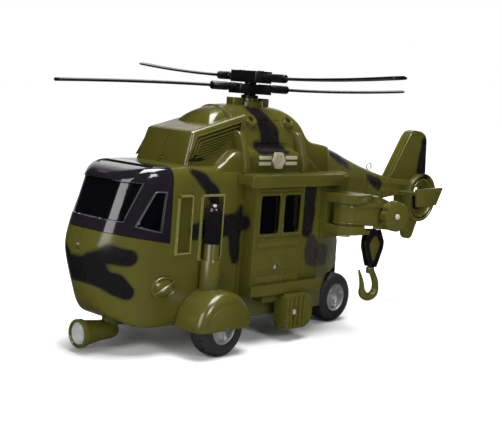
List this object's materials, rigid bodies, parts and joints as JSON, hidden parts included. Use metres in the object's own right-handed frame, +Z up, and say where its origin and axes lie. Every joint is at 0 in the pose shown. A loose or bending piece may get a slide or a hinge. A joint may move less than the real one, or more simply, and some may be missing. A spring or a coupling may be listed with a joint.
{
  "type": "toy helicopter",
  "caption": "Military-style toy helicopter with friction drive, hand-spun rotors, sliding side doors, swinging crane with winch hook and chin searchlight.",
  "frame": {"origin": "on the ground under the middle of the overall box, rotors included", "axes": "-Y towards the nose, +X towards the port side, +Z up"},
  "size_m": [0.2524, 0.3296, 0.1595],
  "materials": {
    "olive_gloss": "glossy moulded, with soft-edged dark patches",
    "olive_matte": "fine matt",
    "black_gloss": "glossy",
    "black_matte": "satin",
    "relief_beige": "satin paint",
    "tyre_black": "matt rubber",
    "rim_silver": "silver metallised",
    "steel": "bright",
    "gear_white": "natural",
    "board_green": "solder mask",
    "cord_black": "braided",
    "lens_clear": "clear"
  },
  "bodies": {
    "airframe": {"floor_plate": "olive_matte", "nose_shell_port": "olive_gloss", "nose_shell_starboard": "olive_gloss", "canopy": "black_gloss", "mid_shell_port": "olive_gloss", "mid_shell_starboard": "olive_gloss", "intake_cowl": "olive_gloss", "engine_cowl": "olive_gloss", "roof_ribs": "olive_gloss", "tail_boom_port": "olive_gloss", "tail_boom_starboard": "olive_gloss", "stabiliser": "olive_gloss", "tow_loop": "steel", "emblems": "relief_beige", "struts": "olive_gloss", "strut_caps": "black_gloss", "fender_port": "olive_gloss", "fender_starboard": "olive_gloss", "door_rails": "olive_gloss", "step_pods": "olive_gloss", "case_screws": "steel", "battery_box": "black_matte", "battery_cover": "olive_matte", "batteries": "steel", "circuit_board": "board_green", "speaker": "black_matte", "motor_case": "black_matte", "crane_bracket": "olive_gloss", "crane_pin": "steel"},
    "front_wheels": {"front_axle": "steel", "front_tyres": "tyre_black", "front_rims": "rim_silver"},
    "rear_wheels": {"rear_axle": "steel", "rear_tyres": "tyre_black", "rear_rims": "rim_silver", "axle_gear": "gear_white"},
    "motor_idler": {"idler_gear": "gear_white"},
    "motor_flywheel": {"flywheel": "steel"},
    "rotor": {"rotor_mast": "black_matte", "lower_carrier": "black_matte", "upper_carrier": "black_matte", "blade_port": "black_gloss", "blade_starboard": "black_gloss", "blade_fore": "black_gloss", "blade_aft": "black_gloss"},
    "fan": {"tail_fan": "black_matte"},
    "port_door": {"door_port": "olive_gloss", "door_panes_port": "black_gloss"},
    "starboard_door": {"door_starboard": "olive_gloss", "door_panes_starboard": "black_gloss"},
    "crane": {"crane_arm": "olive_gloss", "winch_cord": "cord_black"},
    "reel": {"winch_reel": "black_matte", "winch_knob": "olive_gloss", "knob_screw": "steel"},
    "hook_carrier": {"hook_block": "black_matte"},
    "hook_turn": {"hook": "olive_gloss"},
    "searchlight": {"searchlight_cup": "olive_gloss", "lamp_reflector": "rim_silver", "lamp_lens": "lens_clear"}
  },
  "joints": [
    {"name": "front_axle_spin", "type": "hinge", "parent": "airframe", "child": "front_wheels", "pos_m": [0, -0.09453, 0.016], "axis": [1, 0, 0], "continuous": true},
    {"name": "rear_axle_spin", "type": "hinge", "parent": "airframe", "child": "rear_wheels", "pos_m": [0, 0.03047, 0.016], "axis": [1, 0, 0], "continuous": true},
    {"name": "idler_spin", "type": "hinge", "parent": "airframe", "child": "motor_idler", "pos_m": [0, 0.02397, 0.02386], "axis": [1, 0, 0], "continuous": true},
    {"name": "flywheel_spin", "type": "hinge", "parent": "airframe", "child": "motor_flywheel", "pos_m": [0, 0.0325, 0.02944], "axis": [1, 0, 0], "continuous": true},
    {"name": "rotor_spin", "type": "hinge", "parent": "airframe", "child": "rotor", "pos_m": [0, -0.03853, 0.145], "axis": [0, 0, 1], "continuous": true},
    {"name": "fan_spin", "type": "hinge", "parent": "airframe", "child": "fan", "pos_m": [0, 0.14687, 0.076], "axis": [1, 0, 0], "continuous": true},
    {"name": "port_door_slide", "type": "slide", "parent": "airframe", "child": "port_door", "axis": [0, 1, 0], "range_m": [0, 0.0175]},
    {"name": "starboard_door_slide", "type": "slide", "parent": "airframe", "child": "starboard_door", "axis": [0, 1, 0], "range_m": [0, 0.0175]},
    {"name": "crane_swing", "type": "hinge", "parent": "airframe", "child": "crane", "pos_m": [0.049, 0.00297, 0.076], "axis": [0, 0, -1], "range_deg": [-14, 60]},
    {"name": "reel_spin", "type": "hinge", "parent": "crane", "child": "reel", "pos_m": [0.05553, 0.02917, 0.0763], "axis": [0.9703, -0.2419, 0], "range_deg": [0, 257.9]},
    {"name": "hook_drop", "type": "slide", "parent": "crane", "child": "hook_carrier", "axis": [0, 0, -1], "range_m": [0, 0.018], "deforming": ["winch_cord"]},
    {"name": "hook_swivel", "type": "hinge", "parent": "hook_carrier", "child": "hook_turn", "pos_m": [0.05443, 0.02475, 0.04], "axis": [0, 0, 1], "continuous": true},
    {"name": "searchlight_turn", "type": "hinge", "parent": "airframe", "child": "searchlight", "pos_m": [0, -0.13653, 0.02], "axis": [0, 0, 1], "range_deg": [-30, 30]}
  ],
  "couplings": [
    {"joint": "idler_spin", "follows": "rear_axle_spin", "ratio": -2.4},
    {"joint": "flywheel_spin", "follows": "rear_axle_spin", "ratio": 5.76},
    {"joint": "reel_spin", "follows": "hook_drop", "rad_per_m": 250}
  ]
}
